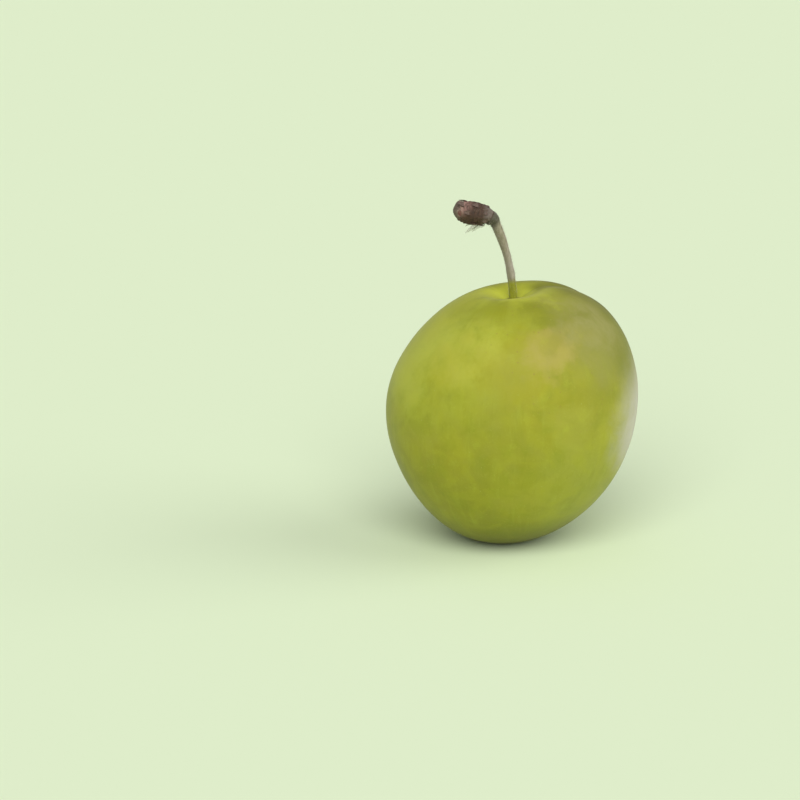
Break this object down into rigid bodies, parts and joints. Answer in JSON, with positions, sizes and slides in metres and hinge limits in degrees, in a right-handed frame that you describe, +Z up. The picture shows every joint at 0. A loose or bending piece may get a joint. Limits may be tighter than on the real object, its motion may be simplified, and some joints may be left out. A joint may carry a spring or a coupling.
{
  "type": "plum",
  "caption": "Green greengage-type plum, standing on its own small flat spot, with its curved stem and the knob of old wood it was picked with.",
  "frame": {"origin": "middle of the fruit's box in plan, on the surface that the fruit stands on", "axes": "+Z up, -Y towards the side that the picture shows, +X to the picture's right"},
  "size_m": [0.0428, 0.0412, 0.0592],
  "materials": {
    "skin": "satin fruit skin with a waxy bloom",
    "stem": "dry grey-green stalk",
    "bark": "rough dark bark"
  },
  "bodies": {
    "root": {"plum_fruit": "skin", "plum_stem": "stem", "spur_stub": "bark"}
  },
  "joints": []
}
